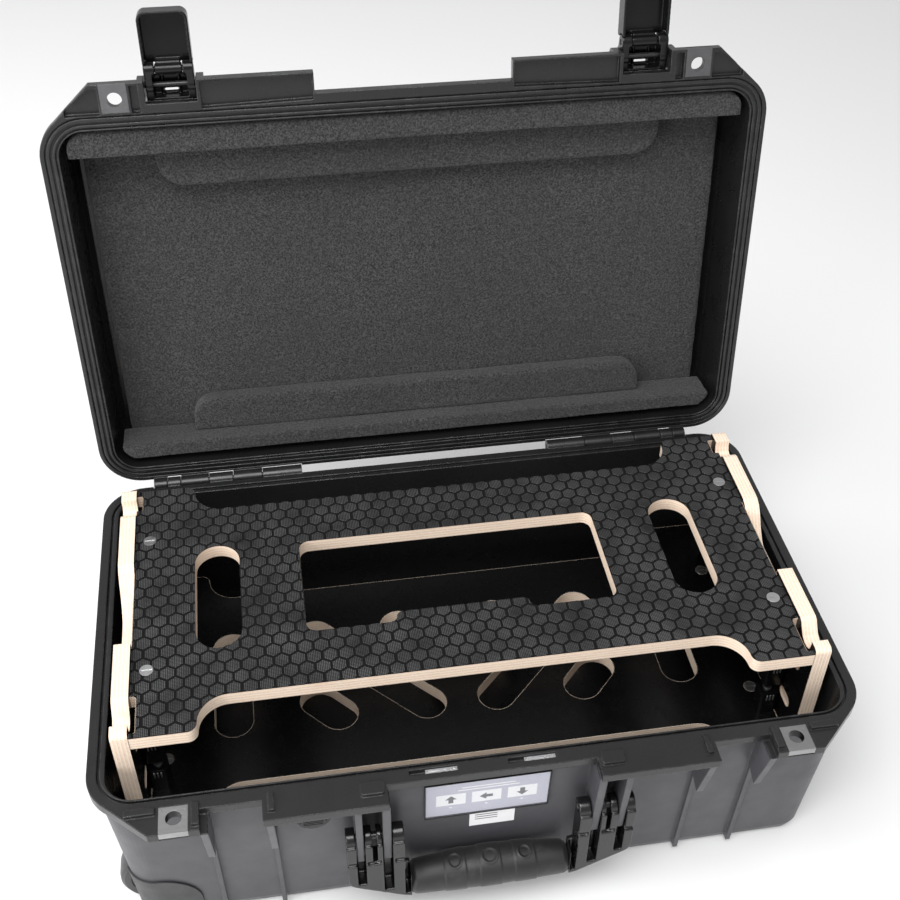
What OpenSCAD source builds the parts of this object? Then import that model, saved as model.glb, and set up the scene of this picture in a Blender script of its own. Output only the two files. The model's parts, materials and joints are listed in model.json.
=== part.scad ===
// Wheeled hard transport case with a lift-out plywood equipment rack.
// Origin on the ground under the centre of the rack, +X towards the pull-out trolley handle,
// +Y towards the lid hinge, +Z up. Millimetres. The lid stands open.

/* [Case] */
// Length of the case at its rim
case_len = 558; // [552:1:560]
// Distance from the origin to the front of the rim
rim_front = 165; // [164:0.5:166]
// Distance from the origin to the back of the rim
rim_back = 160; // [159:0.5:161]
// Height of the parting plane above the ground
rim_z = 165; // [163:0.5:167]
// Height of the closed case
case_h = 228; // [226:0.5:232]
// Height of the inside floor above the ground
floor_z = 33; // [32:0.5:34]
// Corner radius of the rim
rim_r = 34; // [30:1:38]
// Distance from the origin to the front edge of the front flange
flange_front = 185; // [184:0.5:186]

/* [Lid] */
// Angle that the lid stands open
open_angle = 97.3; // [90:0.1:100]
// Height of the hinge axis
hinge_z = 162.7; // [162:0.1:163.5]
// Distance from the origin to the hinge axis
hinge_y = 164.5; // [164:0.1:165]
// Gap between the closed lid and the base
seal_gap = 0.4; // [0.3:0.1:0.6]

/* [Rack] */
// Thickness of the rack's plywood
ply = 12; // [11:0.5:13]
// Height of the top of the deck
deck_z = 192.3; // [191:0.1:193]
// Height of the top of the shelf
shelf_z = 84.6; // [80:0.1:88]
// Length of the rack over its end panels
rack_len = 517.4; // [515:0.2:518]
// Width of the rack from front to back
rack_w = 249; // [247:0.5:250]
// Thickness of the hexagon-pattern film on the deck
film = 0.6; // [0.4:0.1:0.8]

/* [Wheels] */
// Radius of a wheel
wheel_r = 29.5; // [28:0.5:30]
// Width of a wheel
wheel_w = 23; // [20:0.5:24]

/* [Hidden] */
$fn = 48;

half_len = case_len / 2;
band_h = 8;                        // height of the rim band
slice = 0.5;                       // thickness of a station of a drafted wall
wall_in = 5;                       // how far the walls stand in from the rim at the top
foot_in = 15;                      // how far they stand in at the bottom
foot_h = 11;                       // height of the rounded foot of the walls
wall_run = foot_in - wall_in;
wall_rise = rim_z - band_h + 1 - foot_h;
rim_in = 13.5;                     // width of the lid's rim from its outer edge to the opening
opening_in = 12.5;                 // the same for the base
front_thin = -2.5;                 // the base's rim is this much narrower at the front
groove_in = 7;                     // start of the seal groove in the lid and the base
groove_w = 2;
groove_depth = 3;
rim_lines = [[3.2, 4.4], [11, 12.4]];     // insets of the narrow grooves in the lid's rim
gasket_z = [1.6, 3.6];             // bottom and top of the gasket over the lid's mating plane
cavity_draft = 5.2;                // the inside is this much smaller at the floor
lid_z = rim_z + seal_gap;          // mating plane of the closed lid
lid_ceiling = 216;                 // inside top of the closed lid
flange_h = 7;
fit = 0.05;                        // running clearance of pins and shafts
inner_x = rack_len / 2 - ply;      // half the clear length between the end panels
recess_y = 95.5;                   // front and back edges of the deck and shelf between their corners
bend_r = 22;                       // concave radius at the ends of those edges
bend_x = 178;                      // where those edges start to bend
corner_r = 7;                      // convex radius that follows the bend
film_back = 1.1;                   // bare wood beside the notches at the deck's ends
edge_y = rack_w / 2;
window = [118.8, 47.5];            // half length and back edge of the deck's window
tongue_y = -37.3;                  // back edge of the tongue at the window's front
tongue_x = 46;
screw_pos = [for (x = [-235.3, 235.3], y = [-66, 66]) [x, y]];
screw_head_r = 5;
panel_top = 196.3;
panel_foot = floor_z + 0.4;
bracket_z = [shelf_z, shelf_z + 34];
bracket_h = 24;

// Places along X of the front flange's features, measured from the middle
plate_in = 209.6;
plate_out = 229.2;
flange_end = 236.5;
latch_in = 160;
latch_out = 202;
notch_y = 168.7;
block_in = 74.5;
padlock_x = 219.1;
padlock_y = 173.2;
padlock_r = 5.5;
plate_t = 1;
rivet_h = 0.15;

// Metal clips let into the front of the rim
clip_x = [-46.9, 23.1];
clip_len = 22.5;

// Valve, card and wheel guards on the walls
valve_x = -127;
valve_z = 130;
card_w = 92.5;
card_h = 46;
card_x = -1.2;
card_z = 122;
guard_r = 32;
guard_z = 25;

// Faces of the lid's foam panel, pads and bars when closed
foam_z = [200.5, 185, 169.5];

// Latches
latch_y = -178;
latch_z = 180.5;
latch_mid = 178.5;
latch_w = 36;
roller_y = -190;
roller_z = 178;
latch_pin_r = 2;
latch_x = [latch_mid - latch_w / 2, latch_mid + latch_w / 2];
cheek_w = 5.6;
lug_w = 7.8;
tail_y = -168;
latch_color = [0.09, 0.09, 0.095];

// Front handle
grip_pivot_y = -170;
grip_pivot_z = 107;
grip_y = -168.5;
grip_z = 43.5;
grip_low = 28.9;
// Place and radius of the stations of the grip
grip_stations = [[-59.6, 12.6], [-50, 13.3], [-25, 15.1], [0, 15.5], [25, 15.1], [50, 13.3], [59.6, 12.6]];
grip_band_r = 15.8;
handle_pin_r = 3;
post_in = [73.6, 79.4];
post_out = [93.6, 98.4];
yoke_out = 106;
yoke_in = 60;
yoke_z = 75;
yoke_y = [-180, -164];
// Left end, right end and foot of the slots between the yoke's prongs
yoke_slots = [[93, 99.2, 58.6], [73, 80, 47.4], [60.5, 64.5, 38.6]];

// Side handle
side_x = 275.4;
side_z = 118;
side_grip_z = 68;
side_pin_r = 2;
side_arm_r = 3.4;

// Wheels
wheel_x = -247.5;
wheel_z = 30;
wheel_mid_y = 122.5;
axle_r = 4;
well_r = wheel_r + 3.5;
well_w = wheel_w + 6;
housing_t = 3;
// Left and right ends of the pockets under the floor
pocket_x = [[-200, -158], [-154, -110], [-104, -56], [-50, -2], [4, 50], [56, 102], [108, 158], [164, 212]];

// Trolley
tunnel_y = 62;
tunnel_z = [6, 28];
tube_y = 50;
tube_z = 17;
mid_r = 7;
inner_r = 5.2;
guide_x = [226, 246];

// Hinge knuckles: [start, end] from the middle outwards
hinge_r = 6;
hinge_pin_r = 2.5;
base_knuckles = [[110, 144.2], [169.8, 190.2], [214.8, 225.8]];
lid_knuckles = [[144.6, 169.4], [190.6, 214.4], [226.2, 237.5]];

module both_x() { children(); mirror([1, 0, 0]) children(); }
module both_y() { children(); mirror([0, 1, 0]) children(); }

// A rectangle with round corners from corner a to corner b
module round_rect(a, b, r) {
    translate([a[0] + r, a[1]]) square([b[0] - a[0] - 2 * r, b[1] - a[1]]);
    translate([a[0], a[1] + r]) square([b[0] - a[0], b[1] - a[1] - 2 * r]);
    for (x = [a[0] + r, b[0] - r], y = [a[1] + r, b[1] - r]) translate([x, y]) circle(r);
}

// The rim's outline, moved inwards by d
module rim_outline(d) {
    round_rect([-half_len + d, -rim_front + d], [half_len - d, rim_back - d], max(rim_r - d, 8));
}

// A thin slice of the rim's outline at height z, used as a station of a drafted wall
module station(z, d) {
    translate([0, 0, z]) linear_extrude(slice) rim_outline(d);
}

// A profile in Y and Z, extruded along X from x0 to x1
module along_x(x0, x1) {
    translate([x0, 0, 0]) rotate([90, 0, 90]) linear_extrude(x1 - x0) children();
}

// A cylinder along X, or along Y, from one end to the other
module rod_x(x0, x1, y, z, r) { translate([x0, y, z]) rotate([0, 90, 0]) cylinder(h = x1 - x0, r = r); }
module rod_y(y0, y1, x, z, r) { translate([x, y0, z]) rotate([-90, 0, 0]) cylinder(h = y1 - y0, r = r); }

// A box given by two corners
module block(a, b) { translate(a) cube(b - a); }

// Turns the closed lid to where it stands open
module lid_open() {
    translate([0, hinge_y, hinge_z]) rotate([-open_angle, 0, 0])
        translate([0, -hinge_y, -hinge_z]) children();
}

// Half of the front flange seen from above
module flange_outline() {
    polygon([[0, -150], [262, -150], [268, -156], [flange_end, -flange_front],
        [latch_out, -flange_front], [latch_out, -notch_y], [latch_in, -notch_y], [latch_in, -flange_front],
        [block_in, -flange_front], [block_in, -169.5], [0, -169.5]]);
}

// ---- base ----
// Drafted outer body, made bigger all round by grow
module base_outer(grow = 0) {
    hull() {
        station(0, foot_in + 8 - grow);
        station(3, foot_in + 3 - grow);
        station(foot_h, foot_in - grow);
        station(rim_z - band_h + 1, wall_in - grow);
    }
}

// A thin slice of the base's opening at height z, d in from the rim's edge, its front wall thinner
module opening_station(z, d) {
    translate([0, 0, z]) linear_extrude(slice)
        round_rect([-half_len + d, front_thin - rim_front + d], [half_len - d, rim_back - d], rim_r - d);
}

module base_cavity() {
    hull() {
        opening_station(floor_z, opening_in + cavity_draft + 0.8);
        opening_station(floor_z + 4, opening_in + cavity_draft);
        opening_station(rim_z + 1, opening_in);
    }
}

// A ring around the rim between two insets
module rim_ring(z0, z1, d0, d1) {
    translate([0, 0, z0]) linear_extrude(z1 - z0) difference() { rim_outline(d0); rim_outline(d1); }
}

// Ribs under the front flange and down the front wall
module front_ribs() {
    for (x = [latch_out - 5, latch_in - 7]) {
        along_x(x, x + 5) polygon([[-150, 159], [-flange_front, 159], [-172, 110], [-152, 119]]);
        along_x(x + 0.8, x + 4.2) polygon([[-148, 130], [-161, 130], [-153.2, 5], [-146, 5]]);
    }
}

// Posts that carry the front handle
module handle_posts() {
    for (p = [post_in, post_out]) along_x(p[0], p[1])
        polygon([[-150, 159], [-183, 159], [-176, 84], [-172, 79], [-166, 79], [-152, 92]]);
}

// Raised stops on top of the front flange
module flange_stops() {
    block([231.5, -169.6, rim_z - 1], [252, -164, rim_z + 2.6]);
    block([202.2, -181.5, rim_z - 1], [207.2, -163.6, rim_z + 2.6]);
    block([152, -178.5, rim_z - 1], [156, -163.6, rim_z + 2.6]);
    translate([0, 0, rim_z - 1]) linear_extrude(3.4) round_rect([76.5, -176.5], [93, -165.5], 2);
}

module hinge_side(spans, up) {
    for (s = spans) {
        rod_x(s[0], s[1], hinge_y, hinge_z, hinge_r);
        along_x(s[0], s[1])
            if (up) polygon([[152, lid_z], [164.5, lid_z], [168, 167.6], [158, 173], [152, 173]]);
            else polygon([[150, 157], [158, 150], [170, 160], [166, 164.6], [150, 164.6]]);
    }
}

// Room in one shell for the other's knuckles
module knuckle_cuts(spans) {
    for (s = spans) rod_x(s[0] - 0.5, s[1] + 0.5, hinge_y, hinge_z, hinge_r + 0.7);
}

// Space for one wheel, open to the ground and to the end of the case
module wheel_well() {
    y0 = wheel_mid_y - well_w / 2;
    rod_y(y0, y0 + well_w, wheel_x, wheel_z, well_r);
    block([-290, y0, -1], [wheel_x, y0 + well_w, wheel_z + 12]);
    block([wheel_x - well_r, y0, -1], [wheel_x + well_r, y0 + well_w, wheel_z]);
}

// Part of the case's inside kept solid round a wheel's space
module wheel_housing() {
    y0 = wheel_mid_y - well_w / 2 - housing_t;
    reach = well_r + housing_t;
    rod_y(y0, rim_back, wheel_x, wheel_z, reach);
    block([wheel_x - reach, y0, 0], [wheel_x + reach, rim_back, wheel_z]);
}

// Open pockets under the floor
module under_pockets() {
    for (x = pocket_x, y = [[-139, -69], [69, 135]])
        block([x[0], y[0], -1], [x[1], y[1], floor_z - 3.5]);
}

// An axle that runs past both sides of its wheel's space
module wheel_axle(past) {
    reach = well_w / 2 + past;
    rod_y(wheel_mid_y - reach, wheel_mid_y + reach, wheel_x, wheel_z, axle_r);
}

module side_lugs() {
    for (y = [50.6, -57.6]) difference() {
        union() {
            rod_y(y, y + 7, side_x, side_z, side_arm_r);
            block([262, y, side_z - 8], [side_x, y + 7, side_z + side_arm_r]);
        }
        rod_y(y - 1, y + 8, side_x, side_z, side_pin_r);
    }
}

module base_shell() {
    color([0.07, 0.07, 0.075]) {
        difference() {
            union() {
                base_outer();
                translate([0, 0, rim_z - band_h]) linear_extrude(band_h) rim_outline(0);
                both_x() {
                    translate([0, 0, rim_z - flange_h]) linear_extrude(flange_h) flange_outline();
                    front_ribs();
                    handle_posts();
                    flange_stops();
                    hinge_side(base_knuckles, false);
                }
            }
            difference() {
                base_cavity();
                both_y() wheel_housing();
            }
            rim_ring(rim_z - groove_depth, rim_z + 1, groove_in, groove_in + groove_w);
            both_x() {
                rod_x(100, 240, hinge_y, hinge_z, hinge_pin_r);
                knuckle_cuts(lid_knuckles);
                rod_x(60, 110, grip_pivot_y, grip_pivot_z, handle_pin_r);
                translate([padlock_x, -padlock_y, 150]) cylinder(h = 20, r = padlock_r + 0.9);
                block([plate_in, -flange_front - 1, rim_z - plate_t], [plate_out, -164, rim_z + 1]);
                block([plate_in, -flange_front - 1, rim_z - 6],
                    [plate_out, -flange_front + plate_t, rim_z + 1]);
            }
            for (x = clip_x) block([x - 11.5, -164.4, rim_z - 4], [x + clip_len + 0.3, -160.2, rim_z + 1]);
            both_y() wheel_well();
            both_y() wheel_axle(6);
            block([-160, -tunnel_y, tunnel_z[0]], [270, tunnel_y, tunnel_z[1]]);
            block([248.5, -72, 3], [270, 72, 31]);
            under_pockets();
        }
        side_lugs();
    }
}

module padlock_plate(z, down) {
    s = down ? 1 : -1;
    face = [z, z - s * plate_t];
    lip = [z, z - s * 5];
    difference() {
        union() {
            block([plate_in, -flange_front + plate_t, min(face)], [plate_out, -164, max(face)]);
            block([plate_in, -flange_front, min(lip)], [plate_out, -flange_front + plate_t, max(lip)]);
            translate([padlock_x, -padlock_y, min(z, z - s * flange_h)])
                cylinder(h = flange_h, r = padlock_r + 0.9);
            for (x = [plate_in + 1.7, plate_out - 1.7])
                translate([x, -166.6, down ? z : z - rivet_h]) cylinder(h = rivet_h, r = 0.9);
        }
        translate([padlock_x, -padlock_y, z - 20]) cylinder(h = 40, r = padlock_r);
    }
}

module base_padlock_plates() { color([0.75, 0.75, 0.77]) both_x() padlock_plate(rim_z, true); }

// Places a flat piece on the sloping front wall, its front facing outwards
module on_front_wall(x, z) {
    translate([x, foot_in - rim_front - (z - foot_h) * wall_run / wall_rise, z])
        rotate([90 + atan(wall_run / wall_rise), 0, 0]) children();
}

module purge_valve_body() {
    color([0.06, 0.06, 0.065]) on_front_wall(valve_x, valve_z) difference() {
        union() {
            cylinder(h = 5, r = 14);
            cylinder(h = 8, r = 11.5);
        }
        translate([0, 0, 4]) cylinder(h = 5, r = 9.5);
        for (a = [0:45:315]) rotate(a) translate([12.7, 0, 3]) cylinder(h = 3, r = 0.7);
    }
}

module purge_valve_cap() {
    color([0.1, 0.1, 0.105]) on_front_wall(valve_x, valve_z) translate([0, 0, 4]) difference() {
        cylinder(h = 5, r = 9);
        for (a = [-4:2:4]) translate([-7, a - 0.4, 4]) cube([14, 0.8, 2]);
    }
}

module card_holder() {
    color([0.12, 0.12, 0.13]) on_front_wall(card_x, card_z) difference() {
        linear_extrude(2.6) round_rect([-card_w / 2, -card_h / 2], [card_w / 2, card_h / 2], 1);
        translate([-card_w / 2 + 0.8, -card_h / 2 + 0.8, 0.8]) cube([card_w - 1.6, card_h - 1.6, 3]);
    }
}

module direction_card() {
    color([0.93, 0.95, 0.97]) on_front_wall(card_x, card_z)
        translate([-card_w / 2 + 1.1, -card_h / 2 + 1.1, 0.9]) cube([card_w - 2.2, card_h - 2.2, 0.5]);
}

module card_cover() {
    color([0.9, 0.95, 1, 0.3]) on_front_wall(card_x, card_z)
        translate([-card_w / 2 + 0.9, -card_h / 2 + 0.9, 1.5]) cube([card_w - 1.8, card_h - 1.8, 0.8]);
}

module small_label() {
    color([0.92, 0.92, 0.92]) on_front_wall(3.7, 88) translate([-17, -10.5, 0]) cube([34, 21, 0.3]);
}

module seal_clips() {
    color([0.8, 0.8, 0.82]) for (x = clip_x) difference() {
        block([x, -164, rim_z - 4], [x + clip_len, -160.8, rim_z - 0.4]);
        block([x + 1.4, -163.1, rim_z - 2.2], [x + 15, -161.7, rim_z]);
        for (d = [17, 19.6]) block([x + d, -163.1, rim_z - 2.2], [x + d + 1.2, -161.7, rim_z]);
    }
}

module hinge_pins() { color([0.6, 0.6, 0.62]) both_x() rod_x(110.5, 237, hinge_y, hinge_z, hinge_pin_r); }

module front_handle_pins() {
    color([0.6, 0.6, 0.62]) both_x() rod_x(66, 104, grip_pivot_y, grip_pivot_z, handle_pin_r);
}

module side_handle_pins() {
    color([0.6, 0.6, 0.62]) both_y() rod_y(44, 57.6, side_x, side_z, side_pin_r);
}

// Raised corner guards round the wheels, on the front and back walls
module wheel_guards() {
    color([0.1, 0.1, 0.105]) difference() {
        intersection() {
            base_outer(1.5);
            union() {
                rod_y(-180, 180, wheel_x, guard_z, guard_r);
                block([-290, -180, 1], [wheel_x, 180, guard_z + guard_r]);
                block([wheel_x, -180, 1], [wheel_x + guard_r, 180, guard_z]);
            }
        }
        base_outer();
        wheel_gap = wheel_mid_y + well_w / 2;
        block([-290, -wheel_gap, -1], [-200, wheel_gap, 80]);
    }
}

module wheel_axles() {
    color([0.6, 0.6, 0.62]) both_y() wheel_axle(5);
}

module trolley_guide() {
    color([0.08, 0.08, 0.085]) difference() {
        block([guide_x[0], -tunnel_y, tunnel_z[0]], [guide_x[1], tunnel_y, tunnel_z[1]]);
        for (y = [-tube_y, tube_y]) rod_x(guide_x[0] - 1, guide_x[1] + 1, y, tube_z, mid_r + fit);
        block([guide_x[0] - 1, -34, tunnel_z[0] + 3], [guide_x[1] + 1, 34, tunnel_z[1] - 3]);
    }
}

// ---- lid, drawn closed and turned open ----
module lid_outer() {
    hull() {
        station(lid_z + band_h - 1, wall_in);
        station(214, 12);
        station(222, 17);
        station(case_h - 3 - slice, 25);
    }
}

module lid_cavity() {
    hull() {
        station(lid_z - 1, rim_in);
        station(lid_ceiling - 6, rim_in + 2.5);
        station(lid_ceiling - slice, rim_in + 7);
    }
}

module latch_ears() {
    for (x = [[154.3, 159.7], [197.3, 202]]) along_x(x[0], x[1]) {
        translate([latch_y, latch_z]) circle(7);
        polygon([[-158, lid_z], [-flange_front, lid_z], [-flange_front, 172], [latch_y - 7, latch_z],
            [latch_y, latch_z + 7], [-156, 189]]);
    }
}

module lid_flange_pockets() {
    translate([0, 0, lid_z - 1]) linear_extrude(6) {
        polygon([[230.8, -182], [235.5, -182], [256, -168.5], [256, -162.5], [230.8, -162.5]]);
        round_rect([201.6, -183], [207.8, -162.5], 1);
        polygon([[75.7, -183], [157.5, -183], [157.5, -163.2], [152, -163.2], [75.7, -164.8]]);
    }
}

module lid_ridges() {
    for (y = [-110, -56, -2.5, 51, 105]) translate([0, 0, case_h - 6])
        linear_extrude(6) round_rect([-225, y - 9], [225, y + 9], 8);
}

module lid_shell() {
    color([0.07, 0.07, 0.075]) lid_open() difference() {
        union() {
            lid_outer();
            lid_ridges();
            translate([0, 0, lid_z]) linear_extrude(band_h) rim_outline(0);
            both_x() {
                translate([0, 0, lid_z]) linear_extrude(flange_h) flange_outline();
                latch_ears();
                hinge_side(lid_knuckles, true);
            }
        }
        lid_cavity();
        rim_ring(lid_z - 1, lid_z + gasket_z[1], groove_in, groove_in + groove_w);
        for (d = rim_lines) rim_ring(lid_z - 1, lid_z + 2, d[0], d[1]);
        both_x() {
            rod_x(100, 240, hinge_y, hinge_z, hinge_pin_r + fit);
            knuckle_cuts(base_knuckles);
            lid_flange_pockets();
            rod_x(150, 210, latch_y, latch_z, latch_pin_r);
            translate([padlock_x, -padlock_y, 160]) cylinder(h = 20, r = padlock_r + 0.9);
            block([plate_in, -flange_front - 1, lid_z - 1], [plate_out, -164, lid_z + plate_t]);
            block([plate_in, -flange_front - 1, lid_z - 1], [plate_out, -flange_front + plate_t, lid_z + 6]);
        }
    }
}

module lid_gasket() {
    color([0.03, 0.03, 0.03]) lid_open()
        rim_ring(lid_z + gasket_z[0], lid_z + gasket_z[1], groove_in, groove_in + groove_w);
}

module lid_foam_panel() {
    color([0.2, 0.2, 0.205]) lid_open() translate([0, 0, foam_z[0]]) linear_extrude(lid_ceiling - foam_z[0])
        round_rect([-254, -143.8], [254, 138.5], 12);
}

module lid_foam_pads() {
    color([0.2, 0.2, 0.205]) lid_open() for (s = [0, 1]) mirror([0, s, 0])
        translate([0, 0, foam_z[1]]) linear_extrude(foam_z[0] - foam_z[1]) difference() {
            round_rect([-198, 97], [198, 150], 20);
            translate([-200, 127]) square([400, 30]);
        }
}

module lid_foam_bars() {
    color([0.2, 0.2, 0.205]) lid_open() translate([0, 0, foam_z[2]]) linear_extrude(foam_z[0] - foam_z[2]) {
        difference() {
            round_rect([-260, -149], [260, -110], 14);
            translate([-270, -129.5]) square([540, 30]);
        }
        difference() {
            round_rect([-260, 100], [260, 140], 13);
            translate([-270, 90]) square([540, 37]);
        }
    }
}

module lid_padlock_plates() { color([0.75, 0.75, 0.77]) lid_open() both_x() padlock_plate(lid_z, false); }

module latch_pins() {
    color([0.6, 0.6, 0.62]) lid_open() both_x() rod_x(154.6, 201.6, latch_y, latch_z, latch_pin_r);
}

// ---- latches, drawn for the right side in the closed lid's frame, pointing forwards ----
module latch_arm() {
    ends = [latch_x[0], latch_x[1]];
    difference() {
        union() {
            for (x = [ends[0], ends[1] - cheek_w]) along_x(x, x + cheek_w) {
                translate([latch_y, latch_z]) circle(7.3);
                polygon([[latch_y, 187.5], [roller_y, 183.4], [roller_y, 172.6], [latch_y, 173.4]]);
                polygon([[latch_y, 187.5], [latch_y, 174], [tail_y, 174], [tail_y, 187]]);
            }
            for (x = [ends[0], ends[1] - lug_w]) rod_x(x, x + lug_w, roller_y, roller_z, 5.5);
            block([ends[0], -184.5, 185.2], [ends[1], tail_y, 187]);
            block([ends[0], tail_y - 2, 174], [ends[1], tail_y, 187]);
            for (x = [-6, 6]) block([latch_mid + x - 0.7, -184, 182.9], [latch_mid + x + 0.7, tail_y, 186]);
        }
        block([latch_mid - 5, -173.6, 184], [latch_mid + 5, -171.9, 190]);
        rod_x(ends[0] - 1, ends[1] + 1, latch_y, latch_z, latch_pin_r + fit);
        rod_x(ends[0] - 1, ends[1] + 1, roller_y, roller_z, latch_pin_r);
    }
}

module latch_pin() { rod_x(latch_x[0] + 0.5, latch_x[1] - 0.5, roller_y, roller_z, latch_pin_r); }

module latch_cover() {
    barrel = [latch_x[0] + lug_w + 0.4, latch_x[1] - lug_w - 0.4];
    difference() {
        union() {
            difference() {
                translate([0, 0, 173.5]) linear_extrude(14.7)
                    round_rect([latch_x[0], -231.5], [latch_x[1], -180], 6);
                translate([0, 0, 170]) linear_extrude(15.6)
                    round_rect([latch_x[0] + 2, -229.6], [latch_x[1] - 2, -170], 4.4);
                block([latch_x[0] - 1, -193, 170], [latch_x[1] + 1, -170, 190]);
                rod_x(latch_x[0] - 1, latch_x[1] + 1, roller_y, roller_z, 6.4);
            }
            rod_x(barrel[0], barrel[1], roller_y, roller_z, 4);
            block([barrel[0] + 1, -195.5, 178.5], [barrel[1] - 1, -192, 186.5]);
        }
        rod_x(latch_x[0] - 1, latch_x[1] + 1, roller_y, roller_z, latch_pin_r + fit);
    }
}

module on_left() { lid_open() mirror([1, 0, 0]) children(); }
module on_right() { lid_open() children(); }

module latch_left_arm() { color(latch_color) on_left() latch_arm(); }
module latch_left_pin() { color([0.6, 0.6, 0.62]) on_left() latch_pin(); }
module latch_left_cover() { color(latch_color) on_left() latch_cover(); }
module latch_right_arm() { color(latch_color) on_right() latch_arm(); }
module latch_right_pin() { color([0.6, 0.6, 0.62]) on_right() latch_pin(); }
module latch_right_cover() { color(latch_color) on_right() latch_cover(); }

// ---- front handle ----
module yoke() {
    difference() {
        union() {
            translate([0, yoke_y[1], 0]) rotate([90, 0, 0]) linear_extrude(yoke_y[1] - yoke_y[0])
                polygon([[yoke_in, yoke_z], [yoke_in, 34.5], [66, 36.5], [101, 55.5], [104.6, 58.6],
                    [yoke_out, 62.5], [yoke_out, yoke_z]]);
            block([64, yoke_y[0], yoke_z - 0.1], [yoke_out, yoke_y[1], grip_pivot_z]);
            rod_x(64, yoke_out, grip_pivot_y, grip_pivot_z, 7.5);
        }
        block([post_in[0] - 0.7, -190, 73], [post_in[1] + 0.7, -150, 120]);
        block([post_out[0] - 0.7, -190, 73], [post_out[1] + 0.7, -150, 120]);
        rod_x(50, 120, grip_pivot_y, grip_pivot_z, handle_pin_r + fit);
        block([84, -190, 84], [87.5, -150, 120]);
        for (g = yoke_slots) block([g[0], -190, g[2]], [g[1], yoke_y[0] + 12, 73.2]);
        for (g = [[98, 112], [81.5, 91.5], [60, 71.5]]) block([g[0], -190, 83.5], [g[1], yoke_y[0] + 2.5, 88.5]);
        block([yoke_in - 1, -190, 62], [64, -150, 80]);
    }
}

module front_handle_frame() {
    color([0.09, 0.09, 0.095]) {
        both_x() yoke();
        difference() {
            rod_x(-yoke_in - 0.1, yoke_in + 0.1, grip_y, grip_z, 8);
            for (x = [-30, 0, 30]) rod_y(-180, -150, x, grip_z, 1);
        }
    }
}

// A thin round station of the grip; all stations rest on one straight lower line
module grip_station(x, r) { rod_x(x - 0.1, x + 0.1, grip_y, grip_low + r, r); }

// Moulded rubber sleeve, thickest in the middle, with three raised rings
module front_handle_grip() {
    color([0.05, 0.05, 0.05]) difference() {
        union() {
            hull() for (s = grip_stations) grip_station(s[0], s[1]);
            for (x = [-28, 0, 28]) rod_x(x - 6, x + 6, grip_y, grip_low + 15.6, grip_band_r);
        }
        rod_x(-60, 60, grip_y, grip_z, 8);
    }
}

// ---- side handle ----
module side_handle_frame() {
    color([0.09, 0.09, 0.095]) {
        both_y() difference() {
            union() {
                rod_y(43, 50, side_x, side_z, side_arm_r);
                block([side_x - side_arm_r, 43, side_grip_z - 10], [side_x + side_arm_r, 50, side_z]);
            }
            rod_y(40, 60, side_x, side_z, side_pin_r + fit);
        }
        block([side_x - 2.5, -43.1, side_grip_z - 7], [side_x + 2.5, 43.1, side_grip_z + 7]);
    }
}

module side_handle_grip() {
    color([0.05, 0.05, 0.05]) difference() {
        translate([0, 0, side_grip_z]) rotate([90, 0, 0]) translate([0, 0, -41]) linear_extrude(82)
            round_rect([side_x - side_arm_r, -11], [side_x + side_arm_r, 11], 3.2);
        block([side_x - 2.5, -43.1, side_grip_z - 7], [side_x + 2.5, 43.1, side_grip_z + 7]);
    }
}

// ---- wheels ----
module at_wheel(side) {
    translate([wheel_x, side * wheel_mid_y, wheel_z]) rotate([90, 0, 0]) children();
}

module wheel_tyre(side) {
    color([0.1, 0.1, 0.1]) at_wheel(side) rotate_extrude()
        polygon([[21, -wheel_w / 2], [26, -wheel_w / 2], [wheel_r - 0.8, -wheel_w / 2 + 2.5],
            [wheel_r, -wheel_w / 2 + 6], [wheel_r, wheel_w / 2 - 6], [wheel_r - 0.8, wheel_w / 2 - 2.5],
            [26, wheel_w / 2], [21, wheel_w / 2]]);
}

module wheel_hub(side) {
    color([0.3, 0.3, 0.31]) at_wheel(side) difference() {
        union() {
            cylinder(h = wheel_w + 2, r = 8, center = true);
            cylinder(h = wheel_w - 12, r = 20, center = true);
            difference() {
                cylinder(h = wheel_w - 1, r = 21, center = true);
                cylinder(h = wheel_w + 1, r = 18.5, center = true);
            }
            for (a = [0:60:300]) rotate(a) block([6, -1.2, 1.5 - wheel_w / 2], [20, 1.2, wheel_w / 2 - 1.5]);
        }
        cylinder(h = wheel_w + 4, r = axle_r + fit, center = true);
    }
}

module wheel_front_tyre() { wheel_tyre(-1); }
module wheel_front_hub() { wheel_hub(-1); }
module wheel_back_tyre() { wheel_tyre(1); }
module wheel_back_hub() { wheel_hub(1); }

// ---- trolley ----
module trolley_mid_tubes() {
    color([0.7, 0.7, 0.72]) for (y = [-tube_y, tube_y]) difference() {
        rod_x(-140, 247.5, y, tube_z, mid_r);
        rod_x(-141, 249, y, tube_z, inner_r + fit);
    }
}

module trolley_inner_tubes() {
    color([0.8, 0.8, 0.82]) for (y = [-tube_y, tube_y]) rod_x(-138, 252, y, tube_z, inner_r);
}

module trolley_grip() {
    color([0.08, 0.08, 0.085]) difference() {
        translate([0, 0, 6]) linear_extrude(22) round_rect([249.5, -70], [264, 70], 6);
        for (y = [-tube_y, tube_y]) rod_x(240, 252, y, tube_z, inner_r);
        block([252, -18.4, 10.6], [270, 18.4, 23.4]);
        block([249, -38, 12], [253, 38, 29]);
    }
}

module trolley_button() {
    color([0.35, 0.35, 0.36]) translate([256.5, 0, 17]) rotate([90, 0, 90]) linear_extrude(8.3)
        round_rect([-18, -6], [18, 6], 5.9);
}

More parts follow.
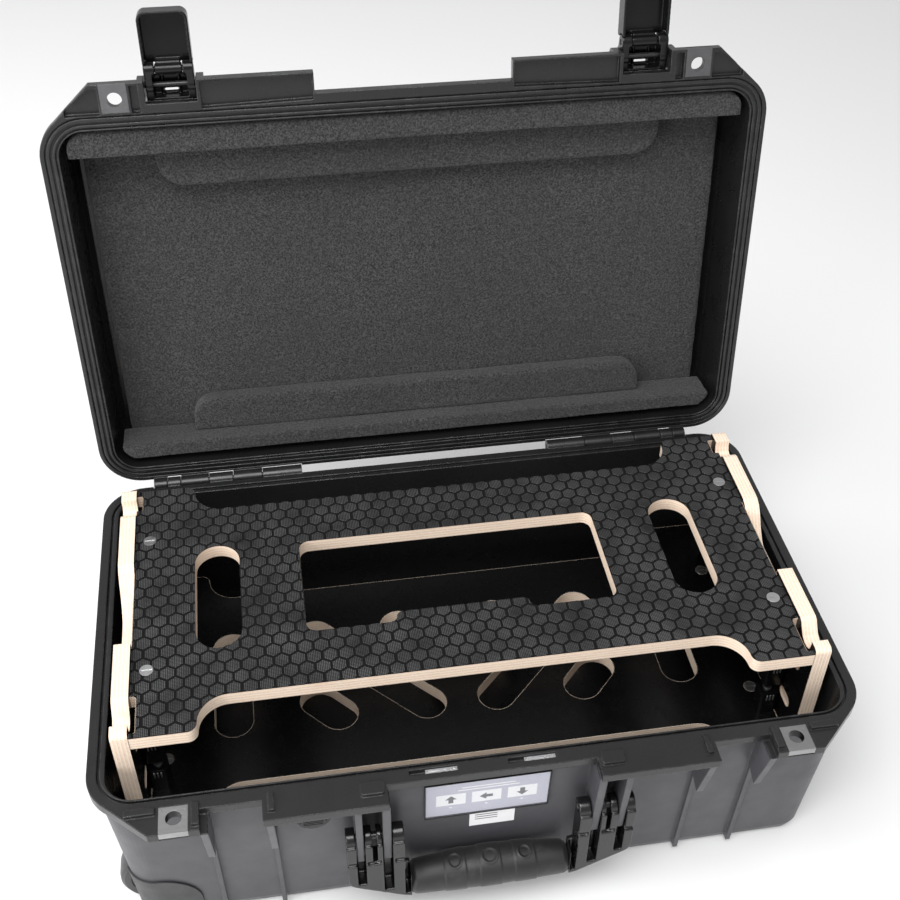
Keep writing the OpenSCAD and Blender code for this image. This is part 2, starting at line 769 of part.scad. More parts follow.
// ---- rack ----
// Corner piece taken out between a long edge and the full width
module edge_recess() {
    square_top = edge_y + 5;
    translate([-bend_x, recess_y]) square([2 * bend_x, square_top - recess_y]);
    both_2d() {
        translate([bend_x, recess_y + bend_r]) circle(bend_r);
        translate([0, recess_y + bend_r]) square([bend_x + bend_r, square_top - recess_y - bend_r]);
        difference() {
            translate([bend_x + bend_r - 0.1, edge_y - corner_r]) square([corner_r + 0.1, corner_r + 5]);
            translate([bend_x + bend_r + corner_r, edge_y - corner_r]) circle(corner_r);
        }
    }
}
module both_2d() { children(); mirror([1, 0]) children(); }

// The outline shared by the deck and the shelf
module board_outline() {
    difference() {
        translate([-inner_x, -edge_y]) square([2 * inner_x, rack_w]);
        edge_recess();
        mirror([0, 1]) edge_recess();
    }
}

// A slot with round ends from p to q, its straight sides a hair inside the ends' circles
module slot(p, q, r) {
    d = q - p;
    side = r - 0.02;
    translate(p) circle(r);
    translate(q) circle(r);
    translate(p) rotate(atan2(d[1], d[0])) translate([0, -side]) square([norm(d), 2 * side]);
}

module deck_window() {
    difference() {
        round_rect([-window[0], -46.8], window, 8);
        translate([-tongue_x, -60]) square([2 * tongue_x, 60 + tongue_y]);
        both_2d() difference() {
            translate([tongue_x - 0.1, -60]) square([9.4, 60 + tongue_y - 4.4]);
            translate([tongue_x + 9.3, tongue_y - 4.4]) circle(4.4);
        }
        both_2d() translate([tongue_x - 0.1, tongue_y - 5]) circle(5);
    }
}

// grow widens what is taken out at the board's ends, for the film that stops short of them
module deck_outline(grow = 0) {
    difference() {
        board_outline();
        deck_window();
        for (x = [-183, 183]) translate([x, 0]) slot([0, -35.5], [0, 35.5], 17.2);
        both_2d() {
            round_rect([inner_x - 4.5 - grow, 102], [inner_x + 6, 119.5], 2);
            round_rect([inner_x - 4.5 - grow, -120.5], [inner_x + 6, -88.5 + grow], 2.5);
            translate([inner_x - grow, -44]) square([6, 84]);
        }
    }
}

module rack_deck() {
    color([0.82, 0.68, 0.5]) difference() {
        translate([0, 0, deck_z - ply]) linear_extrude(ply - film) deck_outline();
        for (p = screw_pos) translate([p[0], p[1], deck_z - ply - 1]) cylinder(h = ply + 2, r = 2.5);
        for (p = screw_pos) translate([p[0], p[1], deck_z - 3]) cylinder(h = 4, r = screw_head_r);
    }
}

module rack_deck_film() {
    color([0.06, 0.06, 0.065]) difference() {
        translate([0, 0, deck_z - film]) linear_extrude(film) deck_outline(film_back);
        for (p = screw_pos) translate([p[0], p[1], deck_z - 2]) cylinder(h = 4, r = screw_head_r);
    }
}

module shelf_slots() {
    r = 15.2;
    for (s = [-1, 1]) {
        slot([s * 183, -37.7], [s * 183, 37.7], r);
        slot([s * 28.4, -42.4], [s * 113, 42], r);
        slot([s * 99.9, -42.8], [s * 114.6, -27.4], r);
        slot([s * 41.5, 42.8], [s * 26.8, 27.4], r);
    }
}

module rack_shelf() {
    color([0.1, 0.1, 0.1]) difference() {
        translate([0, 0, shelf_z - ply]) linear_extrude(ply) difference() {
            board_outline();
            shelf_slots();
        }
        for (p = screw_pos) translate([p[0], p[1], shelf_z - ply - 1]) cylinder(h = ply + 2, r = 2.5);
        for (p = screw_pos) translate([p[0], p[1], shelf_z - 3]) cylinder(h = 4, r = screw_head_r);
    }
}

// End panel seen from the side, +Y to the right
module panel_outline() {
    difference() {
        round_rect([-edge_y - 0.5, panel_foot], [edge_y + 0.5, panel_top], 4);
        polygon([[-42, 200], [-41.8, 175], [-40.6, 169.5], [-37, 166], [-32, 165], [0, 165], [7, 166.3],
            [14, 170.5], [21, 178], [28, 188], [33, 193.2], [39, 196], [46, 196.4], [46, 200]]);
        polygon([[-115.5, 200], [-115.2, 190], [-114, 186.5], [-110.5, 184.8], [-106, 184.6],
            [-101.5, 186.5], [-98, 190.5], [-94.5, 195], [-91, 196.4], [-91, 200]]);
        polygon([[91, 200], [91, 196.4], [94.5, 195], [98, 190.5], [101.5, 187], [106, 185.6],
            [109, 187], [110.5, 190.5], [111, 200]]);
        for (z = [113, 158]) slot([-104, z], [-96, z], 5);
        for (z = [113, 158]) slot([96, z], [104, z], 5);
    }
}

module rack_panel(x0) { color([0.8, 0.66, 0.48]) along_x(x0, x0 + ply) panel_outline(); }

// The left panel clears the wheels' spaces
module rack_panel_left() {
    difference() {
        rack_panel(-rack_len / 2);
        both_y() block([-rack_len / 2 - 1, 103, 30], [1 - inner_x, 130, 68]);
    }
}

module rack_panel_right() { rack_panel(inner_x); }

module rack_screws() {
    color([0.8, 0.8, 0.82]) for (p = screw_pos, z = [deck_z, shelf_z])
        translate([p[0], p[1], z]) difference() {
        union() {
            translate([0, 0, -3]) cylinder(h = 3.2, r = screw_head_r);
            translate([0, 0, -ply]) cylinder(h = ply - 2, r = 2.5);
        }
        translate([-4, -0.5, -0.6]) cube([8, 1, 2]);
    }
}

// Stacked connectors on the inner faces of the end panels
module rack_brackets() {
    color([0.06, 0.06, 0.06]) both_x() both_y() for (z = bracket_z) difference() {
        translate([0, 0, z]) linear_extrude(bracket_h) round_rect([inner_x - 15, 78], [inner_x, 93], 3);
        translate([inner_x - 8, 85.5, z - 1]) cylinder(h = bracket_h + 2, r = 2);
    }
}

module rack_bracket_bolts() {
    color([0.75, 0.75, 0.77]) both_x() both_y() for (z = bracket_z)
        translate([inner_x - 8, 85.5, z + 0.5]) {
            cylinder(h = bracket_h - 0.5, r = 2);
            translate([0, 0, bracket_h - 0.5]) cylinder(h = 1.5, r = 3.6);
        }
}

base_shell();
base_padlock_plates();
purge_valve_body();
purge_valve_cap();
card_holder();
direction_card();
card_cover();
small_label();
seal_clips();
hinge_pins();
front_handle_pins();
side_handle_pins();
wheel_guards();
wheel_axles();
trolley_guide();
lid_shell();
lid_gasket();
lid_foam_panel();
lid_foam_pads();
lid_foam_bars();
lid_padlock_plates();
latch_pins();
latch_left_arm();
latch_left_pin();
latch_left_cover();
latch_right_arm();
latch_right_pin();
latch_right_cover();
front_handle_frame();
front_handle_grip();
side_handle_frame();
side_handle_grip();
wheel_front_tyre();
wheel_front_hub();
wheel_back_tyre();
wheel_back_hub();
trolley_mid_tubes();
trolley_inner_tubes();
trolley_grip();
trolley_button();
rack_deck();
rack_deck_film();
rack_shelf();
rack_panel_left();
rack_panel_right();
rack_screws();
rack_brackets();
rack_bracket_bolts();
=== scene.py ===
"""Wheeled hard case with a plywood rack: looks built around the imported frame."""
import itertools
import json
import math
import bmesh
import bpy
from mathutils import Matrix, Vector, noise


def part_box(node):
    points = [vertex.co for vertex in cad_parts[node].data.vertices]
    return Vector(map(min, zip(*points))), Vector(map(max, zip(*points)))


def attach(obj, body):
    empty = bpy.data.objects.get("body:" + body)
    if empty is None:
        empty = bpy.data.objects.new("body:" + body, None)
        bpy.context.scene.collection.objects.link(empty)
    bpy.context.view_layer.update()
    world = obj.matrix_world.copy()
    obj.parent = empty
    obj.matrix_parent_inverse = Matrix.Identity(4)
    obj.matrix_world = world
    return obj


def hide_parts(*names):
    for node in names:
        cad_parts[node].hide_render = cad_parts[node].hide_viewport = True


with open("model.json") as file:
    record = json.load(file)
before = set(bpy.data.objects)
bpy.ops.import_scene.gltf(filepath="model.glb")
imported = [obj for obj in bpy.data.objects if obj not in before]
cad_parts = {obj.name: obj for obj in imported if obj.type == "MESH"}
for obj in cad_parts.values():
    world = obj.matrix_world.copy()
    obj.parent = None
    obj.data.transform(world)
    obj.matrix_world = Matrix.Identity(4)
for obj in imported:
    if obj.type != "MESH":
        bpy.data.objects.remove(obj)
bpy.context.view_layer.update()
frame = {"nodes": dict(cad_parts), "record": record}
nodes = frame["nodes"]
MM = 0.001


# ---------- places and colours that the looks use ----------
DECK_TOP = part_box("rack_deck_film")[1].z
PLY_THICKNESS = 12 * MM
FLANGE_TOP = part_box("base_padlock_plates")[1].z
RIM_FOOT = FLANGE_TOP - 8 * MM
LID_RIM_TOP = FLANGE_TOP + 8.6 * MM
LID_FLANGE_FRONT = -160.5 * MM
LID_HINGE = next(j for j in frame["record"]["behaviour"]["joints"] if j["name"] == "lid_hinge")

# The faces around the shells' inside, with the case closed. The base's front leans out with height.
INNER_HALF_LENGTH = 267.5 * MM
INNER_BACK = 148.5 * MM
LID_INNER_FRONT = -152 * MM
BASE_INNER_FRONT = -147.9 * MM
BASE_FRONT_LEAN = 0.052
LID_MIDDLE = (0, 0, 190 * MM)
BASE_MIDDLE = (0, 0, 100 * MM)

# The walls' colour and the two rim colours are lit and shaded copies of one black plastic: the rims' darker
# colours are painted shade on the rim, flange and inside.
WALL_COLOUR = (0.055, 0.055, 0.0615)
RIM_SHADED_COLOUR = (0.011, 0.011, 0.0118)
LID_RIM_SHADED_COLOUR = (0.009, 0.009, 0.0096)
# Painted shade for the upright faces inside the padlock plates' holes.
HOLE_SHADE_COLOUR = (0.035, 0.035, 0.037)


# ---------- shader graphs ----------
def scaled(colour, factor, lift=0.0):
    return tuple(c * factor + lift for c in colour)


class Graph:
    """A node material that is built up by small calls."""

    def __init__(self, name, colour, roughness, **sockets):
        self.mat = bpy.data.materials.new(name)
        self.mat.use_nodes = True
        self.tree = self.mat.node_tree
        self.tree.nodes.clear()
        out = self.add("ShaderNodeOutputMaterial")
        self.bsdf = self.add("ShaderNodeBsdfPrincipled")
        self.tree.links.new(self.bsdf.outputs[0], out.inputs[0])
        coord = self.add("ShaderNodeTexCoord")
        self.obj = coord.outputs["Object"]
        self.normal_out = coord.outputs["Normal"]
        self.set("Base Color", (*colour, 1))
        self.set("Roughness", roughness)
        for key, value in sockets.items():
            self.set(key.replace("_", " ").title().replace("Ior", "IOR"), value)

    def add(self, kind, inputs=None, **props):
        node = self.tree.nodes.new(kind)
        for key, value in props.items():
            setattr(node, key, value)
        for key, value in (inputs or {}).items():
            self.put(node.inputs[key], value)
        return node

    def put(self, socket, value):
        if isinstance(value, bpy.types.NodeSocket):
            self.tree.links.new(value, socket)
        else:
            socket.default_value = value

    def set(self, key, value):
        self.put(self.bsdf.inputs[key], value)

    def math(self, operation, a, b=0.0):
        return self.add("ShaderNodeMath", {0: a, 1: b}, operation=operation).outputs[0]

    def times(self, a, b):
        return self.math("MULTIPLY", a, b)

    def plus(self, a, b):
        return self.math("ADD", a, b)

    def minus(self, a, b):
        return self.math("SUBTRACT", a, b)

    def size(self, a):
        return self.math("ABSOLUTE", a)

    def vector(self, operation, a, b, output="Vector"):
        return self.add("ShaderNodeVectorMath", {0: a, 1: b}, operation=operation).outputs[output]

    def dot(self, a, b):
        return self.vector("DOT_PRODUCT", a, b, "Value")

    def noise(self, scale, detail, rough=0.55, vector=None, distortion=0.0):
        return self.add("ShaderNodeTexNoise", {
            "Vector": vector or self.obj, "Scale": scale, "Detail": detail,
            "Roughness": rough, "Distortion": distortion}).outputs["Fac"]

    def stretch(self, scale, rotation=(0, 0, 0)):
        return self.add("ShaderNodeMapping", {
            "Vector": self.obj, "Scale": scale, "Rotation": rotation}).outputs[0]

    def remap(self, value, lo, hi, to_lo=0.0, to_hi=1.0, smooth=False):
        return self.add("ShaderNodeMapRange", {
            "Value": value, "From Min": lo, "From Max": hi, "To Min": to_lo, "To Max": to_hi},
            interpolation_type="SMOOTHSTEP" if smooth else "LINEAR").outputs[0]

    def mix(self, factor, a, b):
        node = self.add("ShaderNodeMix", data_type="RGBA")
        self.put(node.inputs[0], factor)
        self.put(node.inputs[6], a if isinstance(a, bpy.types.NodeSocket) else (*a, 1))
        self.put(node.inputs[7], b if isinstance(b, bpy.types.NodeSocket) else (*b, 1))
        return node.outputs[2]

    def bump(self, height, distance, strength, normal=None):
        inputs = {"Height": height, "Distance": distance, "Strength": strength}
        if normal is not None:
            inputs["Normal"] = normal
        return self.add("ShaderNodeBump", inputs).outputs[0]

    def bevel(self, radius):
        return self.add("ShaderNodeBevel", {"Radius": radius}, samples=4).outputs[0]

    def edge(self, rounded):
        """Near 1 where the bevelled normal leaves the face's own, which is along its edges."""
        flat = self.add("ShaderNodeNewGeometry").outputs["Normal"]
        return self.remap(self.dot(rounded, flat), 0.995, 0.8, smooth=True)

    def axis(self, index):
        return self.add("ShaderNodeSeparateXYZ", {0: self.obj}).outputs[index]

    def facing(self, index):
        """1 on faces that look along that axis of the object."""
        part = self.add("ShaderNodeSeparateXYZ", {0: self.normal_out}).outputs[index]
        return self.remap(self.size(part), 0.62, 0.72)

    def past(self, value, limit, way=1):
        """1 where the value is beyond the limit, upwards or downwards by way, with a short blend."""
        blend = 0.4 * MM * way
        return self.remap(value, limit - blend, limit + blend)

    def scratches(self):
        """1 along fine slanting scratches that come and go."""
        lines = self.noise(1.0, 5, 0.62, self.stretch((16, 170, 240), (0.3, 0.5, 0.9)))
        return self.times(self.remap(lines, 0.66, 0.74, smooth=True), self.remap(self.noise(22, 2), 0.5, 0.7))

    def worn_edges(self, rounded):
        """1 on the stretches of an edge that are rubbed."""
        return self.times(self.edge(rounded), self.remap(self.noise(120, 4), 0.42, 0.7))


def moulded(name, colour, rough, grain=1300, depth=0.06 * MM, wear=0.5, scuff=0.5, shine=0.5):
    """Moulded plastic: fine texture, soft edges, faint scuffs and paler worn edges."""
    g = Graph(name, colour, rough, specular_ior_level=shine)
    soft = g.bevel(0.8 * MM)
    scratch = g.scratches()
    worn = g.worn_edges(soft)
    pale = tuple(min(1, c) for c in scaled(colour, 2.4, 0.035))
    base = g.mix(g.remap(g.noise(9, 4), 0.3, 0.7), scaled(colour, 0.8), scaled(colour, 1.2))
    base = g.mix(g.times(worn, wear), base, pale)
    base = g.mix(g.times(scratch, scuff * 0.6), base, pale)
    g.set("Base Color", base)
    uneven = g.remap(g.noise(55, 4), 0.3, 0.7, rough - 0.07, rough + 0.08)
    g.set("Roughness", g.minus(uneven, g.times(worn, 0.12)))
    height = g.plus(g.noise(grain, 2, 0.6), g.times(scratch, -0.5))
    g.set("Normal", g.bump(height, depth, 0.9, soft))
    return g.mat


def shell_place(g, lid):
    """Place and normal on a shell as it stands when the case is closed."""
    if not lid:
        return g.obj, g.normal_out
    hinge = Vector(LID_HINGE["pos_m"])
    angle = math.radians(-LID_HINGE["range_deg"][0])
    shift = hinge - Matrix.Rotation(angle, 3, "X") @ hinge
    turned = {"Vector": g.obj, "Rotation": (angle, 0, 0), "Location": shift}
    place = g.add("ShaderNodeMapping", turned, vector_type="POINT").outputs[0]
    turned = {"Vector": g.normal_out, "Rotation": (angle, 0, 0)}
    normal = g.add("ShaderNodeMapping", turned, vector_type="VECTOR").outputs[0]
    return place, normal


def smooth_and_shaded_part(g, lid):
    """1 on a shell's rim, flange and inside, and 0 on its outer walls; there the plastic is smoother and
    darker, and the darker colour is painted shade.
    """
    place, normal = shell_place(g, lid)
    x, y, z = g.add("ShaderNodeSeparateXYZ", {0: place}).outputs
    from_middle = g.vector("SUBTRACT", place, LID_MIDDLE if lid else BASE_MIDDLE)
    inside = g.remap(g.dot(normal, from_middle), 0.0, -0.002)
    if lid:
        behind_front = g.past(y, LID_INNER_FRONT)
        band = g.math("MAXIMUM", g.past(z, LID_RIM_TOP, -1), g.past(y, LID_FLANGE_FRONT, -1))
    else:
        behind_front = g.past(g.plus(y, g.times(z, BASE_FRONT_LEAN)), BASE_INNER_FRONT)
        band = g.past(z, RIM_FOOT)
    before_back = g.past(y, INNER_BACK, -1)
    between_ends = g.past(g.size(x), INNER_HALF_LENGTH, -1)
    for limit in (behind_front, before_back, between_ends):
        inside = g.times(inside, limit)
    return g.math("MAXIMUM", inside, band)


def case_look(name, wall, rim, lid=False):
    """The shells' plastic: textured outer walls, and a smoother rim, flange and inside whose darker colour is
    painted shade.
    """
    g = Graph(name, wall, 0.42, specular_ior_level=0.5)
    soft = g.bevel(1.5 * MM)
    # This mask makes the rim, flange and inside smoother, and also darker as painted shade.
    smooth = smooth_and_shaded_part(g, lid)
    scratch = g.scratches()
    worn = g.worn_edges(soft)
    patch = g.remap(g.noise(9, 4), 0.3, 0.7)
    walls = g.mix(patch, scaled(wall, 0.85), scaled(wall, 1.15))
    shaded_rest = g.mix(patch, scaled(rim, 0.8), scaled(rim, 1.2))
    pale = (0.10, 0.10, 0.105)
    # Painted shade: the rim, flange and inside take the darker rim colour instead of the walls' colour.
    base = g.mix(smooth, walls, shaded_rest)
    # The pale worn edges are rubbed wear and also a painted highlight along the edges of the rim, ribs and
    # pads.
    base = g.mix(g.times(worn, 0.6), base, pale)
    base = g.mix(g.times(scratch, 0.3), base, pale)
    g.set("Base Color", base)
    rough = g.plus(g.remap(g.noise(55, 4), 0.3, 0.7, -0.06, 0.08), g.remap(smooth, 0.0, 1.0, 0.44, 0.28))
    g.set("Roughness", g.minus(rough, g.times(worn, 0.12)))
    height = g.plus(g.noise(1300, 2, 0.6), g.times(scratch, -0.5))
    g.set("Normal", g.bump(height, 0.06 * MM, 0.9, soft))
    return g.mat


def foam_look(name, colour):
    """Open foam: pale and dark grains with fine pores."""
    g = Graph(name, colour, 0.95, specular_ior_level=0.22, sheen_weight=0.1, sheen_roughness=0.6)
    cells = g.add("ShaderNodeTexVoronoi", {"Vector": g.obj, "Scale": 640.0}).outputs["Distance"]
    grain = g.noise(600, 4, 0.75)
    speck = g.remap(g.plus(grain, g.times(cells, 0.25)), 0.48, 0.80)
    base = g.mix(speck, scaled(colour, 0.30), scaled(colour, 2.6))
    base = g.mix(g.remap(g.noise(14, 4), 0.35, 0.7, 0.0, 0.3), base, scaled(colour, 0.85))
    g.set("Base Color", base)
    g.set("Roughness", g.remap(grain, 0.3, 0.7, 0.86, 1.0))
    pores = g.plus(g.remap(cells, 0.0, 0.55), g.times(grain, 1.6))
    g.set("Normal", g.bump(pores, 0.7 * MM, 0.8))
    return g.mat


def ply_look(name, axis, start, plies=9):
    """Birch plywood with black film on the two faces that look along axis."""
    g = Graph(name, (0.8, 0.66, 0.5), 0.55, specular_ior_level=0.3)
    soft = g.bevel(0.5 * MM)
    along = g.times(g.minus(g.axis(axis), start), plies / PLY_THICKNESS / 2)
    wobble = g.times(g.minus(g.noise(28, 4), 0.5), 0.34)
    phase = g.math("FRACT", g.plus(along, wobble))
    from_middle = g.size(g.minus(phase, 0.5))
    from_glue = g.size(g.minus(from_middle, 0.25))
    ply = g.remap(from_middle, 0.19, 0.30, smooth=True)
    glue = g.remap(from_glue, 0.0, 0.045, 1.0, 0.0, smooth=True)

    scale = [60, 60, 60]
    scale[axis] = 1100
    fibre = g.noise(1.0, 5, 0.7, g.stretch(scale))
    pores = g.noise(1500, 2, 0.7)
    light = g.mix(fibre, (0.91, 0.78, 0.655), (0.80, 0.645, 0.50))
    dark = g.mix(g.remap(pores, 0.35, 0.65), (0.66, 0.49, 0.37), (0.86, 0.71, 0.58))
    wood = g.mix(g.times(ply, 0.9), light, dark)
    patchy = g.remap(g.noise(45, 3), 0.4, 0.62, 0.3, 0.8)
    wood = g.mix(g.times(glue, patchy), wood, (0.36, 0.22, 0.14))
    stain = g.remap(g.noise(19, 4, 0.6, distortion=1.2), 0.60, 0.74, smooth=True)
    wood = g.mix(g.times(stain, 0.35), wood, (0.66, 0.44, 0.30))

    film = g.mix(g.noise(300, 3), (0.0022, 0.0022, 0.0025), (0.0036, 0.0036, 0.0038))
    worn = g.edge(g.bevel(1.3 * MM))
    face = g.times(g.facing(axis), g.minus(1.0, worn))
    g.set("Base Color", g.mix(face, wood, film))
    g.set("Roughness", g.plus(g.times(face, -0.30), g.remap(fibre, 0.3, 0.7, 0.5, 0.62)))
    height = g.plus(g.times(ply, -0.35), g.times(pores, 0.5))
    height = g.times(height, g.minus(1.0, face))
    g.set("Normal", g.bump(height, 0.18 * MM, 0.9, soft))
    return g.mat


def metal_look(name, colour, rough, grain=(18, 1400, 1400), hole_shade_from=None):
    """Metal with fine lines; behind the y given last, its upright faces are painted dark as the shade inside
    a hole.
    """
    g = Graph(name, colour, rough, metallic=1.0)
    soft = g.bevel(0.3 * MM)
    lines = g.noise(1.0, 4, 0.6, g.stretch(grain, (0.0, 0.0, 0.35)))
    smudge = g.noise(65, 4)
    base = g.mix(g.remap(smudge, 0.35, 0.7), colour, scaled(colour, 0.78))
    if hole_shade_from is not None:
        behind = g.remap(g.axis(1), hole_shade_from, hole_shade_from + 0.3 * MM)
        # Painted shade: the hole's upright faces behind that y are darkened.
        base = g.mix(g.times(behind, g.minus(1.0, g.facing(2))), base, HOLE_SHADE_COLOUR)
    g.set("Base Color", base)
    g.set("Roughness", g.plus(g.remap(lines, 0.3, 0.7, rough - 0.08, rough + 0.1),
                              g.remap(smudge, 0.4, 0.75, 0.0, 0.12)))
    g.set("Normal", g.bump(lines, 0.04 * MM, 0.6, soft))
    return g.mat


def rubber_look(name, colour, rough, grain=900, depth=0.1 * MM):
    """Matt rubber with a fine grain and pale dust."""
    g = Graph(name, colour, rough, specular_ior_level=0.45, sheen_weight=0.08)
    soft = g.bevel(0.6 * MM)
    dust = g.remap(g.noise(48, 5, 0.65), 0.52, 0.76, smooth=True)
    g.set("Base Color", g.mix(g.times(dust, 0.5), colour, scaled(colour, 1.8, 0.02)))
    g.set("Roughness", g.remap(g.noise(70, 3), 0.3, 0.7, rough - 0.08, rough + 0.08))
    g.set("Normal", g.bump(g.noise(grain, 3, 0.65), depth, 0.8, soft))
    return g.mat


def film_look(name):
    """Phenolic film whose raised cells carry a fine dot grid; the dot grid is painted pale as a sheen, and
    the gaps are painted dark as shade.
    """
    g = Graph(name, (0.014, 0.014, 0.015), 0.33, specular_ior_level=0.28)
    pitch = 1.25 * MM
    waves = [g.math("SINE", g.times(g.axis(i), 2 * math.pi / pitch)) for i in (0, 1)]
    dot_relief_and_sheen = g.remap(g.plus(waves[0], g.times(waves[1], 0.8)), 0.25, 1.4, smooth=True)
    dot_relief_and_sheen = g.times(dot_relief_and_sheen, g.remap(g.noise(30, 3), 0.3, 0.65, 0.3, 1.0))
    top = g.remap(g.axis(2), DECK_TOP - 0.20 * MM, DECK_TOP - 0.08 * MM)
    dot_relief_and_sheen = g.times(dot_relief_and_sheen, top)
    tone = g.remap(g.noise(60, 3), 0.35, 0.65)
    cell = g.mix(tone, (0.006, 0.006, 0.0064), (0.012, 0.012, 0.0124))
    # Painted shade: the gaps between the cells are much darker than the cell tops.
    base = g.mix(top, (0.0008, 0.0008, 0.0009), cell)
    # Painted sheen: the dot grid is raised, and is also painted lighter than the cell for the light that its
    # relief catches.
    g.set("Base Color", g.mix(dot_relief_and_sheen, base, (0.15, 0.15, 0.153)))
    g.set("Roughness", g.plus(g.remap(top, 0.0, 1.0, 0.92, 0.34),
                              g.remap(g.noise(600, 3), 0.3, 0.7, -0.04, 0.08)))
    height = g.plus(dot_relief_and_sheen, g.times(g.noise(2200, 2), 0.2))
    g.set("Normal", g.bump(height, 0.12 * MM, 0.8))
    return g.mat


def paper_look(name, colour):
    """Printed paper with faint fibres."""
    g = Graph(name, colour, 0.45, specular_ior_level=0.5)
    fine = g.noise(1800, 2)
    g.set("Base Color", g.mix(g.noise(30, 4), colour, scaled(colour, 0.93)))
    g.set("Roughness", g.remap(fine, 0.3, 0.7, 0.38, 0.55))
    g.set("Normal", g.bump(fine, 0.02 * MM, 0.5))
    return g.mat


def clear_look(name):
    """A clear sheet that shows by its shine and a slight haze."""
    g = Graph(name, (0.60, 0.62, 0.66), 0.04, specular_ior_level=0.6)
    g.set("Alpha", 0.07)
    haze = g.noise(90, 4)
    g.set("Roughness", g.remap(haze, 0.35, 0.7, 0.03, 0.14))
    g.set("Normal", g.bump(haze, 0.02 * MM, 0.4))
    return g.mat


# The y from which the base plates' holes get their painted shade.
PLATE_HOLE_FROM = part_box("base_padlock_plates")[0].y + 1.3 * MM

looks = {
    "case": case_look("case_plastic", WALL_COLOUR, RIM_SHADED_COLOUR),
    "lid": case_look("lid_plastic", WALL_COLOUR, LID_RIM_SHADED_COLOUR, lid=True),
    "guide": moulded("guide_plastic", (0.03, 0.03, 0.032), 0.42),
    "guard": moulded("guard_plastic", (0.030, 0.030, 0.032), 0.5, grain=800, depth=0.1 * MM),
    "latch": moulded("latch_plastic", (0.004, 0.004, 0.0044), 0.20, depth=0.03 * MM, wear=0.25,
                     scuff=0.2, shine=0.3),
    "handle": moulded("handle_plastic", (0.0055, 0.0055, 0.0060), 0.22, depth=0.03 * MM, wear=0.3,
                      scuff=0.3),
    "pin": moulded("black_pin", (0.012, 0.012, 0.013), 0.3, depth=0.02 * MM),
    "foam": foam_look("foam_grey", (0.026, 0.026, 0.0264)),
    "deck": ply_look("ply_deck", 2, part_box("rack_deck")[0].z),
    "shelf": ply_look("ply_shelf", 2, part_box("rack_shelf")[0].z),
    "panel_left": ply_look("ply_left", 0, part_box("rack_panel_left")[0].x),
    "panel_right": ply_look("ply_right", 0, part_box("rack_panel_right")[0].x),
    "film": film_look("hex_film"),
    "steel": metal_look("steel", (0.38, 0.38, 0.385), 0.36, hole_shade_from=PLATE_HOLE_FROM),
    # The lid's plates are the same steel as the base's, made darker as a painted shade.
    "lid_plate_shaded_steel": metal_look("lid_plate_shaded_steel", (0.17, 0.17, 0.175), 0.40),
    "zinc": metal_look("zinc", (0.66, 0.66, 0.67), 0.30, (300, 300, 60)),
    "alu": metal_look("aluminium", (0.78, 0.78, 0.79), 0.28, (8, 1200, 1200)),
    "seal": rubber_look("seal_rubber", (0.012, 0.012, 0.0125), 0.5),
    "grip": rubber_look("grip_rubber", (0.011, 0.011, 0.0118), 0.50, 1200, 0.12 * MM),
    "tyre": rubber_look("tyre_rubber", (0.035, 0.035, 0.037), 0.55, 500, 0.15 * MM),
    "paper": paper_look("card_paper", (0.46, 0.46, 0.54)),
    "white": paper_look("label_paper", (0.80, 0.80, 0.81)),
    "arrow": paper_look("arrow_print", (0.12, 0.12, 0.13)),
    "line": paper_look("line_print", (0.50, 0.36, 0.44)),
    "dot": paper_look("dot_print", (0.78, 0.36, 0.40)),
    "clear": clear_look("clear_sheet"),
}

on_nodes = {
    "case": ["base_shell"],
    "guide": ["trolley_guide"],
    "lid": ["lid_shell"],
    "guard": ["wheel_guards", "trolley_button"],
    "latch": ["purge_valve_body", "purge_valve_cap", "card_holder", "latch_left_arm", "latch_left_cover",
              "latch_right_arm", "latch_right_cover", "rack_brackets", "wheel_front_hub", "wheel_back_hub"],
    "handle": ["front_handle_frame", "side_handle_frame", "trolley_grip"],
    "foam": ["lid_foam_panel", "lid_foam_pads", "lid_foam_bars"],
    "deck": ["rack_deck"],
    "shelf": ["rack_shelf"],
    "panel_left": ["rack_panel_left"],
    "panel_right": ["rack_panel_right"],
    "film": ["rack_deck_film"],
    "steel": ["base_padlock_plates", "wheel_axles"],
    "lid_plate_shaded_steel": ["lid_padlock_plates"],
    "pin": ["hinge_pins", "front_handle_pins", "latch_pins", "side_handle_pins", "latch_left_pin",
            "latch_right_pin"],
    "zinc": ["seal_clips", "rack_screws", "rack_bracket_bolts"],
    "alu": ["trolley_mid_tubes", "trolley_inner_tubes"],
    "seal": ["lid_gasket"],
    "grip": ["front_handle_grip", "side_handle_grip"],
    "tyre": ["wheel_front_tyre", "wheel_back_tyre"],
    "paper": ["direction_card"],
    "white": ["small_label"],
    "clear": ["card_cover"],
}
for look, names in on_nodes.items():
    for name in names:
        mesh = nodes[name].data
        mesh.materials.clear()
        mesh.materials.append(looks[look])


# ---------- pieces ----------
def new_mesh(name, bm):
    """The bmesh as a mesh; the bmesh itself is freed."""
    mesh = bpy.data.meshes.new(name)
    bm.to_mesh(mesh)
    bm.free()
    return mesh


def new_object(name, data):
    o = bpy.data.objects.new(name, data)
    bpy.context.scene.collection.objects.link(o)
    return o


def piece(name, mesh, body, look, slot, *instead):
    """A new object in the row frame that rides on a body and may stand for CAD nodes."""
    o = new_object(name, mesh)
    mesh.materials.clear()
    mesh.materials.append(looks[look])
    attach(o, body)
    if instead:
        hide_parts(*instead)
    return o


def settled(o):
    """The object's mesh with its modifiers applied; the object itself is removed."""
    mesh = bpy.data.meshes.new_from_object(o.evaluated_get(bpy.context.evaluated_depsgraph_get()))
    bpy.data.objects.remove(o)
    return mesh


